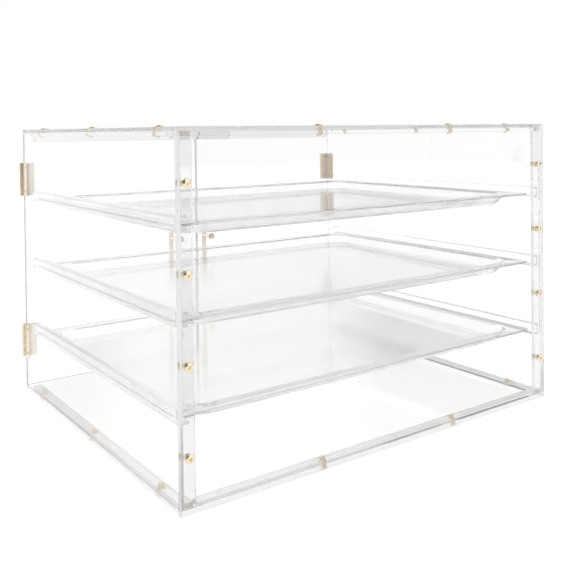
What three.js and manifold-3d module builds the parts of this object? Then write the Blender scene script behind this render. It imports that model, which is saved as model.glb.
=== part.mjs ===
// Countertop bread display bin: a knock-down case of clear acrylic sheet, screwed to clear bars
// with brass screws, pan-head ones on show and flat-head ones underneath. Three moulded trays
// slide on channel rails, and two doors hang at the back on brass butt hinges.
// Millimetres, +Z up. The origin is the middle of the underside. X runs along the front, and
// the doors are at +Y.
import * as THREE from 'three';
import { mergeVertices } from 'three/addons/utils/BufferGeometryUtils.js';
import Module from 'manifold-3d';

const wasm = await Module();
wasm.setup();

// Case
const overallWidth = 533;
const overallDepth = 451;
const overallHeight = 356;
const sheetThickness = 4;
const seatGap = 0.3;
const cutOverrun = 2;
const weldDistance = 0.00001;

// Flat strips that the sheets are screwed to: posts behind the front, and strips along the top
// and the bottom
const stripThickness = 4.8;
const postWidth = 12.7;
const stripWidth = 11;
const stripRearSetback = 25.5;

// Bar over the doors and the stop in its middle
const headerSize = 12.7;
const headerEndSpace = 10.5;
const stopWidth = 98;
const stopThickness = 6;
const stopHeight = 12;

// Channel rails
const railHeight = 14;
const railWidth = 9;
const railLip = 2.4;
const railWeb = 2;
const railTopHeight = 274.3;
const railPitch = 89.5;
const railRearSetback = 31.5;

// Moulded trays
const trayCount = 3;
const traySideClearance = 1;
const trayFrontClearance = 8.9;
const trayRearSetback = 42;
const trayLift = 0.3;
const trayRimThickness = 2.4;
const trayRimWidth = 14;
const trayCornerRadius = 8;
const trayPanCornerRadius = 28;
const trayPanDepth = 12;
const trayWall = 2.4;
const trayWallSpread = 10;
const traySectionShares = [[0, 0], [0.55, 0.62], [0.78, 0.86], [1, 0.97], [1.45, 1]];

// Doors
const doorEdgeGap = 1;
const doorMiddleGap = 1.5;
const doorFaceGap = 0.5;

// Butt hinges
const hingeHeight = 45;
const hingeLeafWidth = 20;
const hingeLeafThickness = 1.1;
const hingeKnuckleRadius = 2.1;
const hingePinRadius = 1;
const hingePinClearance = 0.1;
const hingeKnuckleGap = 0.3;
const hingeTopInset = 63;
const hingeBottomInset = 62;
const hingePartings = 5;
const hingeScrewSpacing = 33;
const hingeScrewInset = 7;
const hingeScrewHeadRadius = 2.7;
const hingeScrewHeadHeight = 1.1;
const hingeScrewShaftRadius = 1.2;
const hingeScrewEndSpace = 0.6;
const hingeScrewSlot = 0.7;

// Door handles
const handleSpread = 56;
const handleMiddleHeight = 148;
const handleLength = 90;
const handleRadius = 4;
const handleStandOff = 25;
const handlePostRadius = 3;
const handlePostInset = 9;
const handleFootRadius = 5;
const handleFootHeight = 2;
const handleStudRadius = 1.8;
const handleNutRadius = 4;
const handleNutHeight = 2;

// Brass screws
const screwHeadRadius = 4.6;
const screwHeadHeight = 2;
const screwShaftRadius = 3;
const screwLength = 11;
const screwHoleClearance = 0.3;
const screwHoleEndSpace = 0.8;
const crossSpan = 5;
const crossWidth = 1.2;
const crossDepth = 1.2;
const screwSinkDepth = 3;
const screwFlushSpace = 0.3;
const frontScrewCount = 4;
const frontScrewEndInset = 52;
const frontScrewSideInset = 9.3;
const sideScrewCount = 3;
const sideScrewFrontInset = 44.9;
const sideScrewRearInset = 32;
const crossScrewCount = 2;
const crossScrewEndInset = 151.8;

// Facets round a turn
const fineFacets = 16;
const smallFacets = 12;
const cornerFacets = 7;
const domeShares = [[1, 0], [0.9, 0.5], [0.55, 0.9], [0, 1]];
const headShares = [[1, 0], [1, 0.42], [0.84, 0.8], [0.5, 0.97], [0, 1]];

// Faces and centre lines that several pieces share
const frontFaceY = -overallDepth / 2;
const rearFaceY = overallDepth / 2;
const sideFaceX = overallWidth / 2;
const frontInnerY = frontFaceY + sheetThickness;
const doorInnerY = rearFaceY - sheetThickness;
const sideInnerX = sideFaceX - sheetThickness;
const topInnerZ = overallHeight - sheetThickness;
const postInnerX = sideInnerX - seatGap - postWidth;
const postRearY = frontInnerY + seatGap + stripThickness;
const stripInnerX = sideInnerX - seatGap - stripWidth;
const frontStripRearY = frontInnerY + seatGap + stripWidth;
const frontStripEndX = postInnerX - seatGap;
const sideStripFrontY = postRearY + seatGap;
const sideStripRearY = rearFaceY - stripRearSetback;
const lowBarBaseZ = sheetThickness + seatGap;
const highBarTopZ = topInnerZ - seatGap;
const doorBaseZ = sheetThickness + doorEdgeGap;
const doorTopZ = topInnerZ - doorEdgeGap;
const hingePinX = sideFaceX + seatGap + hingeKnuckleRadius;
const hingePinY = rearFaceY + seatGap + hingeKnuckleRadius;

// Clear sheet, bars and mouldings, and polished brass
const looks = {
  sheet: { color: 0xf3f6f6, roughness: 0.05, metalness: 0, transparent: true, opacity: 0.25 },
  bar: { color: 0xe6eaea, roughness: 0.08, metalness: 0, transparent: true, opacity: 0.4 },
  tray: { color: 0xe2e5e6, roughness: 0.12, metalness: 0, transparent: true, opacity: 0.45 },
  brass: { color: 0xd3a55b, roughness: 0.22, metalness: 1 },
};

function solidOf(geometry) {
  const bare = geometry.index ? geometry.clone() : mergeVertices(geometry);
  bare.deleteAttribute('normal');
  bare.deleteAttribute('uv');
  const merged = mergeVertices(bare, weldDistance);
  return new wasm.Manifold(new wasm.Mesh({
    numProp: 3,
    vertProperties: Float32Array.from(merged.attributes.position.array),
    triVerts: Uint32Array.from(merged.index.array),
  }));
}

function geometryOf(solid) {
  const mesh = solid.getMesh();
  const geometry = new THREE.BufferGeometry();
  const corners = new Float32Array(mesh.numVert * 3);
  for (let i = 0; i < mesh.numVert; i += 1) {
    for (let k = 0; k < 3; k += 1) corners[i * 3 + k] = mesh.vertProperties[i * mesh.numProp + k];
  }
  geometry.setAttribute('position', new THREE.BufferAttribute(corners, 3));
  geometry.setIndex(Array.from(mesh.triVerts));
  geometry.computeVertexNormals();
  return geometry;
}

// A block between two corners
function block(low, high) {
  const geometry = new THREE.BoxGeometry(high[0] - low[0], high[1] - low[1], high[2] - low[2]);
  geometry.translate((low[0] + high[0]) / 2, (low[1] + high[1]) / 2, (low[2] + high[2]) / 2);
  return solidOf(geometry);
}

// A solid turned from a radius and height profile about +Z
function turned(profile, facets) {
  return solidOf(new THREE.LatheGeometry(profile.map(([r, z]) => new THREE.Vector2(r, z)), facets)
    .rotateX(Math.PI / 2));
}

// A rod of one radius from one height to another, about +Z
function rod(radius, low, high, facets) {
  return turned([[0, low], [radius, low], [radius, high], [0, high]], facets);
}

// Turns a solid made along +Z so that it points along another axis
function pointed(solid, direction) {
  if (direction === 'up') return solid;
  if (direction === 'down') return solid.rotate([180, 0, 0]);
  if (direction === 'front') return solid.rotate([90, 0, 0]);
  if (direction === 'rear') return solid.rotate([-90, 0, 0]);
  if (direction === 'left') return solid.rotate([0, -90, 0]);
  return solid.rotate([0, 90, 0]);
}

function holesCut(solid, holes) {
  return holes.reduce((left, hole) => left.subtract(hole), solid);
}

// Assembly screws, each made with the underside of its head at zero and its head along +Z
function crossRecess(faceZ) {
  const arm = block([-crossSpan / 2, -crossWidth / 2, faceZ - crossDepth],
    [crossSpan / 2, crossWidth / 2, faceZ + cutOverrun]);
  return arm.add(arm.rotate([0, 0, 90]));
}

function panHeadScrew() {
  const head = headShares.map(([r, z]) => [r * screwHeadRadius, z * screwHeadHeight]);
  const body = turned([[0, -screwLength], [screwShaftRadius, -screwLength],
    [screwShaftRadius, 0], ...head], fineFacets);
  return body.subtract(crossRecess(screwHeadHeight));
}

// The head of a flat-head screw is flush, so its length is measured from the head's flat
function flatHeadScrew() {
  const body = turned([[0, -screwLength], [screwShaftRadius, -screwLength],
    [screwShaftRadius, -screwSinkDepth], [screwHeadRadius, 0], [0, 0]], fineFacets);
  return body.subtract(crossRecess(0));
}

// Equal steps from one place to another, both included
function evenly(count, first, last) {
  return Array.from({ length: count }, (_, i) => first + ((last - first) * i) / (count - 1));
}

function screwHole(depth) {
  return rod(screwShaftRadius + screwHoleClearance, -depth, cutOverrun, fineFacets);
}

function sunkHole(depth) {
  const wide = screwHeadRadius + screwHoleClearance;
  const narrow = screwShaftRadius + screwHoleClearance;
  const sink = screwSinkDepth + screwFlushSpace + screwHoleClearance;
  return turned([[0, -depth], [narrow, -depth], [narrow, -sink],
    [wide, -screwFlushSpace], [wide, cutOverrun], [0, cutOverrun]], fineFacets);
}

const screwHoleDepth = screwLength + screwHoleEndSpace;

// Every assembly screw, with its name, the way its head points and the place under its head
function screwTable() {
  const table = [];
  for (const side of ['left', 'right']) {
    const sign = side === 'left' ? -1 : 1;
    const postX = sign * (sideFaceX - frontScrewSideInset);
    const stripX = sign * (stripInnerX + stripWidth / 2);
    const heights = evenly(frontScrewCount, frontScrewEndInset, overallHeight - frontScrewEndInset);
    heights.forEach((z, i) => table.push({
      name: `front_${side}_screw_${i + 1}`, direction: 'front', at: [postX, frontFaceY, z] }));
    const places = evenly(sideScrewCount, sideStripFrontY + sideScrewFrontInset,
      sideStripRearY - sideScrewRearInset);
    places.forEach((y, i) => {
      table.push({ name: `top_${side}_screw_${i + 1}`, direction: 'up',
        at: [stripX, y, overallHeight] });
      table.push({ name: `bottom_${side}_screw_${i + 1}`, direction: 'down', at: [stripX, y, 0] });
    });
  }
  const crossReach = frontStripEndX - crossScrewEndInset;
  const crossY = frontStripRearY - stripWidth / 2;
  evenly(crossScrewCount, -crossReach, crossReach).forEach((x, i) => {
    table.push({ name: `top_front_screw_${i + 1}`, direction: 'up', at: [x, crossY, overallHeight] });
    table.push({ name: `bottom_front_screw_${i + 1}`, direction: 'down', at: [x, crossY, 0] });
  });
  return table;
}

const screws = screwTable();

function screwHoles(direction) {
  const hole = direction === 'down' ? sunkHole(screwHoleDepth) : screwHole(screwHoleDepth);
  return screws.filter((screw) => screw.direction === direction)
    .map((screw) => pointed(hole, direction).translate(screw.at));
}

// Sheets
function frontPanel() {
  return holesCut(block([-sideFaceX, frontFaceY, 0], [sideFaceX, frontInnerY, overallHeight]),
    screwHoles('front'));
}

function topPanel() {
  return holesCut(block([-sideFaceX, frontInnerY + seatGap, topInnerZ],
    [sideFaceX, rearFaceY, overallHeight]), screwHoles('up'));
}

function bottomPanel() {
  return holesCut(block([-sideFaceX, frontInnerY + seatGap, 0],
    [sideFaceX, rearFaceY, sheetThickness]), screwHoles('down'));
}

function sidePanel(side) {
  const sheet = block([sideInnerX, frontInnerY + seatGap, lowBarBaseZ],
    [sideFaceX, doorInnerY - doorFaceGap, highBarTopZ]);
  return mirroredTo(side, holesCut(sheet, hingeHoles('case')));
}

function door(side) {
  const sheet = block([doorMiddleGap / 2, doorInnerY, doorBaseZ], [sideFaceX, rearFaceY, doorTopZ]);
  return mirroredTo(side, holesCut(sheet, [...hingeHoles('door'), ...handleHoles()]));
}

// Pieces are made for the right side, and the left ones are their mirror images
function mirroredTo(side, solid) {
  return side === 'left' ? solid.mirror([1, 0, 0]) : solid;
}

// Posts and strips
function frontPost(side) {
  const bar = block([postInnerX, frontInnerY + seatGap, lowBarBaseZ],
    [postInnerX + postWidth, postRearY, highBarTopZ]);
  return mirroredTo(side, holesCut(bar, screwHoles('front')));
}

function frontStrip(baseZ, direction) {
  const bar = block([-frontStripEndX, frontInnerY + seatGap, baseZ],
    [frontStripEndX, frontStripRearY, baseZ + stripThickness]);
  return holesCut(bar, screwHoles(direction));
}

function sideStrip(side, baseZ, direction) {
  const bar = block([stripInnerX, sideStripFrontY, baseZ],
    [stripInnerX + stripWidth, sideStripRearY, baseZ + stripThickness]);
  return mirroredTo(side, holesCut(bar, screwHoles(direction)));
}

function rearHeader() {
  const reach = sideInnerX - headerEndSpace;
  const rearY = doorInnerY - doorFaceGap;
  return block([-reach, rearY - headerSize, highBarTopZ - headerSize], [reach, rearY, highBarTopZ]);
}

function doorStop() {
  const rearY = doorInnerY - doorFaceGap - headerSize - seatGap;
  return block([-stopWidth / 2, rearY - stopThickness, highBarTopZ - stopHeight],
    [stopWidth / 2, rearY, highBarTopZ]);
}

// A channel rail, open towards the middle of the case
function rail(side, level) {
  const topZ = railTopHeight - level * railPitch;
  const frontY = frontFaceY + screwLength + seatGap;
  const rearY = rearFaceY - railRearSetback;
  const outerX = sideInnerX - seatGap;
  const bar = block([outerX - railWidth, frontY, topZ - railHeight], [outerX, rearY, topZ]);
  const slot = block([outerX - railWidth - cutOverrun, frontY - cutOverrun,
    topZ - railHeight + railLip], [outerX - railWeb, rearY + cutOverrun, topZ - railLip]);
  return mirroredTo(side, bar.subtract(slot));
}

// The corner points of a rectangle with rounded corners, anticlockwise from the right side
function roundedOutline(halfX, lowY, highY, radius) {
  const points = [];
  const centres = [[halfX - radius, lowY + radius, -Math.PI / 2], [halfX - radius, highY - radius, 0],
    [radius - halfX, highY - radius, Math.PI / 2], [radius - halfX, lowY + radius, Math.PI]];
  for (const [x, y, start] of centres) {
    for (let i = 0; i <= cornerFacets; i += 1) {
      const angle = start + (i / cornerFacets) * (Math.PI / 2);
      points.push([x + radius * Math.cos(angle), y + radius * Math.sin(angle)]);
    }
  }
  return points;
}

// A closed solid through outlines with equal counts, lowest first
function lofted(rings) {
  const count = rings[0].outline.length;
  const positions = [];
  const faces = [];
  for (const ring of rings) for (const [x, y] of ring.outline) positions.push(x, y, ring.z);
  for (let r = 0; r + 1 < rings.length; r += 1) {
    for (let i = 0; i < count; i += 1) {
      const a = r * count + i;
      const b = r * count + ((i + 1) % count);
      faces.push(a, b, b + count, a, b + count, a + count);
    }
  }
  const last = (rings.length - 1) * count;
  for (let i = 1; i + 1 < count; i += 1) {
    faces.push(0, i + 1, i);
    faces.push(last, last + i, last + i + 1);
  }
  const geometry = new THREE.BufferGeometry();
  geometry.setAttribute('position', new THREE.BufferAttribute(new Float32Array(positions), 3));
  geometry.setIndex(faces);
  return solidOf(geometry);
}

// A tray: a flat rim that slides in the channels, and a shallow pan with sloping walls
function tray(level) {
  const halfX = sideInnerX - seatGap - railWeb - traySideClearance;
  const lowY = postRearY + trayFrontClearance;
  const highY = rearFaceY - trayRearSetback;
  const rimZ = railTopHeight - level * railPitch - railHeight + railLip + trayLift;
  const rimTopZ = rimZ + trayRimThickness;
  const outlineAt = (inset, radius = trayPanCornerRadius) => roundedOutline(halfX - inset,
    lowY + inset, highY - inset, radius);
  const rim = lofted([{ z: rimZ, outline: outlineAt(0, trayCornerRadius) },
    { z: rimTopZ, outline: outlineAt(0, trayCornerRadius) }]);
  const sections = (startInset, startZ, depth) => traySectionShares
    .map(([spread, drop]) => ({ z: startZ - drop * depth,
      outline: outlineAt(startInset + spread * trayWallSpread) })).reverse();
  const outside = sections(trayRimWidth, rimZ, trayPanDepth);
  const inside = sections(trayRimWidth + trayWall, rimTopZ, trayPanDepth + trayRimThickness - trayWall);
  const skin = [...outside, { z: rimTopZ - trayRimThickness / 2, outline: outlineAt(trayRimWidth) }];
  const hollow = [...inside, { z: rimTopZ + cutOverrun, outline: outlineAt(trayRimWidth + trayWall) }];
  return rim.add(lofted(skin)).subtract(lofted(hollow));
}

// Butt hinge, folded round the corner with its pin outside it. The case leaf lies on the side
// panel and holds the pin, and the door leaf lies on the door.
const hingeHeights = { upper: doorTopZ - hingeTopInset, lower: doorBaseZ + hingeBottomInset };

const knucklePitch = (hingeHeight + hingeKnuckleGap) / hingePartings;

function knuckles(first) {
  const rings = [];
  for (let i = first; i < hingePartings; i += 2) {
    const low = i * knucklePitch - hingeHeight / 2;
    rings.push(rod(hingeKnuckleRadius, low, low + knucklePitch - hingeKnuckleGap, smallFacets));
  }
  return rings;
}

// Material of one leaf that would foul the other leaf's knuckles
function knuckleSpaces(first) {
  const reach = hingeKnuckleRadius + hingeKnuckleGap;
  const spaces = [];
  for (let i = first; i < hingePartings; i += 2) {
    const low = i * knucklePitch - hingeHeight / 2 - hingeKnuckleGap;
    spaces.push(block([-reach, -reach, low], [reach, reach, low + knucklePitch + hingeKnuckleGap]));
  }
  return spaces;
}

// A leaf made about its pin, lying along +X with its seat face at -hingeKnuckleRadius in Y. The
// pin is fast in the case leaf's knuckles and runs free in the door leaf's.
function hingeLeaf(first, holdsPin) {
  let leaf = block([0, -hingeKnuckleRadius, -hingeHeight / 2],
    [hingeLeafWidth, hingeLeafThickness - hingeKnuckleRadius, hingeHeight / 2]);
  leaf = holesCut(leaf, knuckleSpaces(1 - first));
  for (const ring of knuckles(first)) leaf = leaf.add(ring);
  const pinRadius = holdsPin ? hingePinRadius : hingePinRadius + hingePinClearance;
  const pin = rod(pinRadius, -hingeHeight / 2, hingeHeight / 2, smallFacets);
  leaf = holdsPin ? leaf.add(pin) : leaf.subtract(pin);
  for (const z of [-hingeScrewSpacing / 2, hingeScrewSpacing / 2]) {
    leaf = leaf.add(pointed(leafScrew(), 'rear')
      .translate([hingeLeafWidth - hingeScrewInset, hingeLeafThickness - hingeKnuckleRadius, z]));
  }
  return leaf;
}

function leafScrew() {
  const dome = domeShares.map(([r, z]) => [r * hingeScrewHeadRadius, z * hingeScrewHeadHeight]);
  const tip = hingeLeafThickness + seatGap + sheetThickness - hingeScrewEndSpace;
  const body = turned([[0, -tip], [hingeScrewShaftRadius, -tip],
    [hingeScrewShaftRadius, 0], ...dome], smallFacets);
  const reach = hingeScrewHeadRadius + cutOverrun;
  return body.subtract(block([-reach, -hingeScrewSlot / 2, hingeScrewHeadHeight - hingeScrewSlot],
    [reach, hingeScrewSlot / 2, hingeScrewHeadHeight + cutOverrun]));
}

// The door leaf runs inwards along the door, and the case leaf forwards along the side panel
function doorLeaf(side, level) {
  return mirroredTo(side, hingeLeaf(1, false).mirror([1, 0, 0])
    .translate([hingePinX, hingePinY, hingeHeights[level]]));
}

function caseLeaf(side, level) {
  return mirroredTo(side, hingeLeaf(0, true).rotate([0, 0, -90])
    .translate([hingePinX, hingePinY, hingeHeights[level]]));
}

function hingeHoles(panel) {
  const hole = rod(hingeScrewShaftRadius + screwHoleClearance, -sheetThickness - cutOverrun,
    cutOverrun, smallFacets);
  const along = hingeLeafWidth - hingeScrewInset;
  const holes = [];
  for (const level of Object.values(hingeHeights)) {
    for (const offset of [-hingeScrewSpacing / 2, hingeScrewSpacing / 2]) {
      holes.push(panel === 'door'
        ? pointed(hole, 'rear').translate([hingePinX - along, rearFaceY, level + offset])
        : pointed(hole, 'right').translate([sideFaceX, hingePinY - along, level + offset]));
    }
  }
  return holes;
}

// Door handle: an upright grip on two posts, whose studs pass through the door to nuts inside it
const handleX = handleSpread / 2;
const handlePostHeights = [handleMiddleHeight - handleLength / 2 + handlePostInset,
  handleMiddleHeight + handleLength / 2 - handlePostInset];

function handle(side) {
  const gripY = rearFaceY + handleStandOff;
  let body = rod(handleRadius, -handleLength / 2, handleLength / 2, fineFacets)
    .translate([handleX, gripY, handleMiddleHeight]);
  const footBase = seatGap;
  const post = turned([[0, footBase], [handleFootRadius, footBase],
    [handleFootRadius, footBase + handleFootHeight],
    [handlePostRadius, footBase + handleFootHeight],
    [handlePostRadius, handleStandOff], [0, handleStandOff]], fineFacets);
  const innerFace = -sheetThickness - seatGap;
  const stud = turned([[0, innerFace - handleNutHeight], [handleNutRadius, innerFace - handleNutHeight],
    [handleNutRadius, innerFace], [handleStudRadius, innerFace],
    [handleStudRadius, footBase + handleFootHeight / 2], [0, footBase + handleFootHeight / 2]],
  fineFacets);
  for (const z of handlePostHeights) {
    body = body.add(pointed(post.add(stud), 'rear').translate([handleX, rearFaceY, z]));
  }
  return mirroredTo(side, body);
}

function handleHoles() {
  const hole = rod(handleStudRadius + screwHoleClearance, -sheetThickness - cutOverrun,
    cutOverrun, fineFacets);
  return handlePostHeights.map((z) => pointed(hole, 'rear').translate([handleX, rearFaceY, z]));
}

const model = new THREE.Group();
model.name = 'bread_display_bin';

function place(name, solid, look) {
  const mesh = new THREE.Mesh(geometryOf(solid), new THREE.MeshStandardMaterial(looks[look]));
  mesh.name = name;
  model.add(mesh);
}

place('front_panel', frontPanel(), 'sheet');
place('top_panel', topPanel(), 'sheet');
place('bottom_panel', bottomPanel(), 'sheet');
place('front_top_bar', frontStrip(highBarTopZ - stripThickness, 'up'), 'bar');
place('front_bottom_bar', frontStrip(lowBarBaseZ, 'down'), 'bar');
place('rear_header', rearHeader(), 'bar');
place('door_stop', doorStop(), 'bar');

for (const side of ['left', 'right']) {
  place(`${side}_panel`, sidePanel(side), 'sheet');
  place(`${side}_door`, door(side), 'sheet');
  place(`front_${side}_bar`, frontPost(side), 'bar');
  place(`${side}_top_bar`, sideStrip(side, highBarTopZ - stripThickness, 'up'), 'bar');
  place(`${side}_bottom_bar`, sideStrip(side, lowBarBaseZ, 'down'), 'bar');
  place(`${side}_handle`, handle(side), 'brass');
  for (const level of ['upper', 'lower']) {
    place(`${side}_${level}_hinge_case_leaf`, caseLeaf(side, level), 'brass');
    place(`${side}_${level}_hinge_door_leaf`, doorLeaf(side, level), 'brass');
  }
}

['upper', 'middle', 'lower'].slice(0, trayCount).forEach((name, level) => {
  place(`tray_${name}`, tray(level), 'tray');
  place(`left_rail_${name}`, rail('left', level), 'bar');
  place(`right_rail_${name}`, rail('right', level), 'bar');
});

for (const screw of screws) {
  const made = screw.direction === 'down'
    ? flatHeadScrew().translate([0, 0, -screwFlushSpace]) : panHeadScrew();
  place(screw.name, pointed(made, screw.direction).translate(screw.at), 'brass');
}

export default model;
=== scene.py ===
"""Countertop bread display bin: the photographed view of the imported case, in metres, +Z up.

The case is clear acrylic sheet screwed to clear posts and strips, with moulded trays on channel
rails and brass fittings. The origin is the middle of its underside, X runs along the front, and
the doors are at +Y.
"""
import math
import random

import bmesh
import bpy
from mathutils import Matrix, Vector
from mathutils.geometry import tessellate_polygon


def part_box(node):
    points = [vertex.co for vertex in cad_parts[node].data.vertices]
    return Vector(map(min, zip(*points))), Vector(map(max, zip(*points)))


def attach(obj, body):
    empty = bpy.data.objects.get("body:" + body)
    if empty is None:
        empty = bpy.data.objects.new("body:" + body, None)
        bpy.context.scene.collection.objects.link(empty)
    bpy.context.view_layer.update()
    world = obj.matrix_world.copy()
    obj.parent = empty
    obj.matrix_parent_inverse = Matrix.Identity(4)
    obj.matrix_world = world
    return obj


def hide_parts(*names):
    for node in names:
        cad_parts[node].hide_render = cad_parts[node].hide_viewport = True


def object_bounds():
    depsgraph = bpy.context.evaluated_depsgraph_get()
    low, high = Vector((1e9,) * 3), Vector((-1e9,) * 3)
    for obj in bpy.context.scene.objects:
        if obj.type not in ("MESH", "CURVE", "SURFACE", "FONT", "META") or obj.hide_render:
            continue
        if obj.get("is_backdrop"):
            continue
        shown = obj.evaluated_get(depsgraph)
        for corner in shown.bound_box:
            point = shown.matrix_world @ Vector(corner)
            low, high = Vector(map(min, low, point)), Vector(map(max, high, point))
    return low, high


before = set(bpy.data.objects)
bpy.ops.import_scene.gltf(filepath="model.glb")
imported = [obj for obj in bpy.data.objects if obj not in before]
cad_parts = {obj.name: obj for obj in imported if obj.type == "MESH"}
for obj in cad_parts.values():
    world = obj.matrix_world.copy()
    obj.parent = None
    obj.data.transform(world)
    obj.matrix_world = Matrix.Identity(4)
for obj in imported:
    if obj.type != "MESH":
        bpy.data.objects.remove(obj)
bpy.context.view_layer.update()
scene = bpy.context.scene
scene.view_settings.view_transform = "Standard"
MM = 0.001

# Camera. The photograph is taken from the left of the fixed front, level with the top of the case,
# with the lens shifted down so that the upright edges stay upright.
PHOTO_SIDE = 576
FOCAL_LENGTH = 774.603
VANISHING_ROW = 141.117
SENSOR_WIDTH = 36.0
CAMERA_PLACE = (-593.53 * MM, -850.39 * MM, 350.58 * MM)
CAMERA_YAW = math.radians(35.793)
CAMERA_PITCH = math.radians(0.751)
CAMERA_ROLL = math.radians(-0.617)

camera_data = bpy.data.cameras.new("photo_camera")
camera_data.sensor_width = SENSOR_WIDTH
camera_data.lens = FOCAL_LENGTH / PHOTO_SIDE * SENSOR_WIDTH
camera_data.shift_y = (VANISHING_ROW - PHOTO_SIDE / 2) / PHOTO_SIDE
camera_data.clip_start = 10 * MM
camera = bpy.data.objects.new("photo_camera", camera_data)
camera.matrix_world = (Matrix.Translation(CAMERA_PLACE) @ Matrix.Rotation(-CAMERA_YAW, 4, "Z")
                       @ Matrix.Rotation(math.pi / 2 - CAMERA_PITCH, 4, "X")
                       @ Matrix.Rotation(CAMERA_ROLL, 4, "Z"))
scene.collection.objects.link(camera)
scene.camera = camera


# Studio. A white sweep of paper under and behind the case, in a white room. Clear plastic draws its
# edges from the greyer wall behind the camera, and brass its dark sides from the unlit walls.
ROOM_LIGHT = "#ffffff"
ROOM_DARK = "#ececec"
ROOM_ABOVE = "#f0f0f0"
ROOM_BESIDE = "#808080"
BACKDROP_TOP = (math.radians(11), math.radians(14))
BACKDROP_YAW = math.radians(32)
BACKDROP_SIDE = (math.radians(6), math.radians(11))
BACKDROP_EDGE = (-0.6, 0.1)
METAL_LIGHT = "#ffffff"
METAL_DARK = "#33261a"
METAL_GLARE = 1.25
# the way to each unlit wall, where it starts and is full, and how dark it is
UNLIT_WALLS = (((-0.793, -0.609, 0), 0.4, 0.52, 1.0), ((1, 0, 0), 0.84, 0.92, 0.9),
               ((0, 0, 1), 0.55, 0.75, 0.4))
CLEAR_DEPTH_LIMIT = 26
PAPER_COLOUR = "#c4c4c4"
PAPER_SIDE = 12000 * MM
PAPER_FIBRE = 0.4 * MM
PAPER_GLOW = 0.55


def linear(hex_colour):
    """A #rrggbb colour in sRGB as linear red, green, blue and 1."""
    shares = [int(hex_colour[i:i + 2], 16) / 255 for i in (1, 3, 5)]
    return [s / 12.92 if s <= 0.04045 else ((s + 0.055) / 1.055) ** 2.4 for s in shares] + [1.0]


def add_node(tree, kind, settings=None, **values):
    """Adds a node. settings go on the node, and values on its inputs, where an output links."""
    node = tree.nodes.new(kind)
    for name, value in (settings or {}).items():
        setattr(node, name, value)
    for name, value in values.items():
        key = name.replace("_", " ")
        socket = node.inputs[int(key[5:])] if key.startswith("input") else node.inputs[key]
        if isinstance(value, bpy.types.NodeSocket):
            tree.links.new(value, socket)
        else:
            socket.default_value = value
    return node


def new_material(name):
    """A material with nodes, with its tree, its shader and its output."""
    material = bpy.data.materials.new(name)
    material.use_nodes = True
    nodes = material.node_tree.nodes
    return material, material.node_tree, nodes["Principled BSDF"], nodes["Material Output"]


scene.cycles.max_bounces = 40
scene.cycles.transmission_bounces = 40
scene.cycles.glossy_bounces = 40
scene.cycles.transparent_max_bounces = 64

world = bpy.data.worlds.new("white_room")
scene.world = world
world.use_nodes = True
tree = world.node_tree
tree.nodes.clear()
way = add_node(tree, "ShaderNodeTexCoord")
ahead = add_node(tree, "ShaderNodeVectorMath", {"operation": "DOT_PRODUCT"},
                 input0=way.outputs["Generated"],
                 input1=(math.sin(CAMERA_YAW), math.cos(CAMERA_YAW), 0))
behind_share = add_node(tree, "ShaderNodeMapRange", {"interpolation_type": "SMOOTHSTEP"},
                        Value=ahead.outputs["Value"], From_Min=BACKDROP_EDGE[0],
                        From_Max=BACKDROP_EDGE[1])
height = add_node(tree, "ShaderNodeSeparateXYZ", Vector=way.outputs["Generated"])
above_share = add_node(tree, "ShaderNodeMapRange", {"interpolation_type": "SMOOTHSTEP"},
                       Value=height.outputs["Z"], From_Min=math.sin(BACKDROP_TOP[0]),
                       From_Max=math.sin(BACKDROP_TOP[1]))
aside = add_node(tree, "ShaderNodeVectorMath", {"operation": "DOT_PRODUCT"},
                 input0=way.outputs["Generated"],
                 input1=(math.cos(BACKDROP_YAW), -math.sin(BACKDROP_YAW), 0))
aside = add_node(tree, "ShaderNodeMath", {"operation": "ABSOLUTE"}, input0=aside.outputs["Value"])
beside_share = add_node(tree, "ShaderNodeMapRange", {"interpolation_type": "SMOOTHSTEP"},
                        Value=aside.outputs[0], From_Min=math.sin(BACKDROP_SIDE[0]),
                        From_Max=math.sin(BACKDROP_SIDE[1]))
above_tone = add_node(tree, "ShaderNodeMix", {"data_type": "RGBA"},
                      input0=beside_share.outputs["Result"],
                      input6=linear(ROOM_ABOVE), input7=linear(ROOM_BESIDE))
backdrop = add_node(tree, "ShaderNodeMix", {"data_type": "RGBA"},
                    input0=above_share.outputs["Result"],
                    input6=linear(ROOM_LIGHT), input7=above_tone.outputs[2])
room_tone = add_node(tree, "ShaderNodeMix", {"data_type": "RGBA"},
                     input0=behind_share.outputs["Result"],
                     input6=linear(ROOM_DARK), input7=backdrop.outputs[2])
unlit_walls = []
for direction, start, full, share in UNLIT_WALLS:
    facing = add_node(tree, "ShaderNodeVectorMath", {"operation": "DOT_PRODUCT"},
                      input0=way.outputs["Generated"], input1=direction)
    unlit_walls.append(add_node(tree, "ShaderNodeMapRange", {"interpolation_type": "SMOOTHSTEP"},
                                Value=facing.outputs["Value"], From_Min=start, From_Max=full,
                                To_Max=share))
unlit = add_node(tree, "ShaderNodeMath", {"operation": "MAXIMUM"},
                 input0=unlit_walls[0].outputs[0], input1=unlit_walls[1].outputs[0])
unlit = add_node(tree, "ShaderNodeMath", {"operation": "MAXIMUM"},
                 input0=unlit.outputs[0], input1=unlit_walls[2].outputs[0])
metal_tone = add_node(tree, "ShaderNodeMix", {"data_type": "RGBA"}, input0=unlit.outputs[0],
                      input6=linear(METAL_LIGHT), input7=linear(METAL_DARK))
path = add_node(tree, "ShaderNodeLightPath")
mirrored = add_node(tree, "ShaderNodeMath", {"operation": "SUBTRACT", "use_clamp": True},
                    input0=path.outputs["Is Glossy Ray"],
                    input1=path.outputs["Is Transmission Ray"])
direct = add_node(tree, "ShaderNodeMath", {"operation": "LESS_THAN"},
                  input0=path.outputs["Ray Depth"], input1=float(CLEAR_DEPTH_LIMIT))
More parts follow.
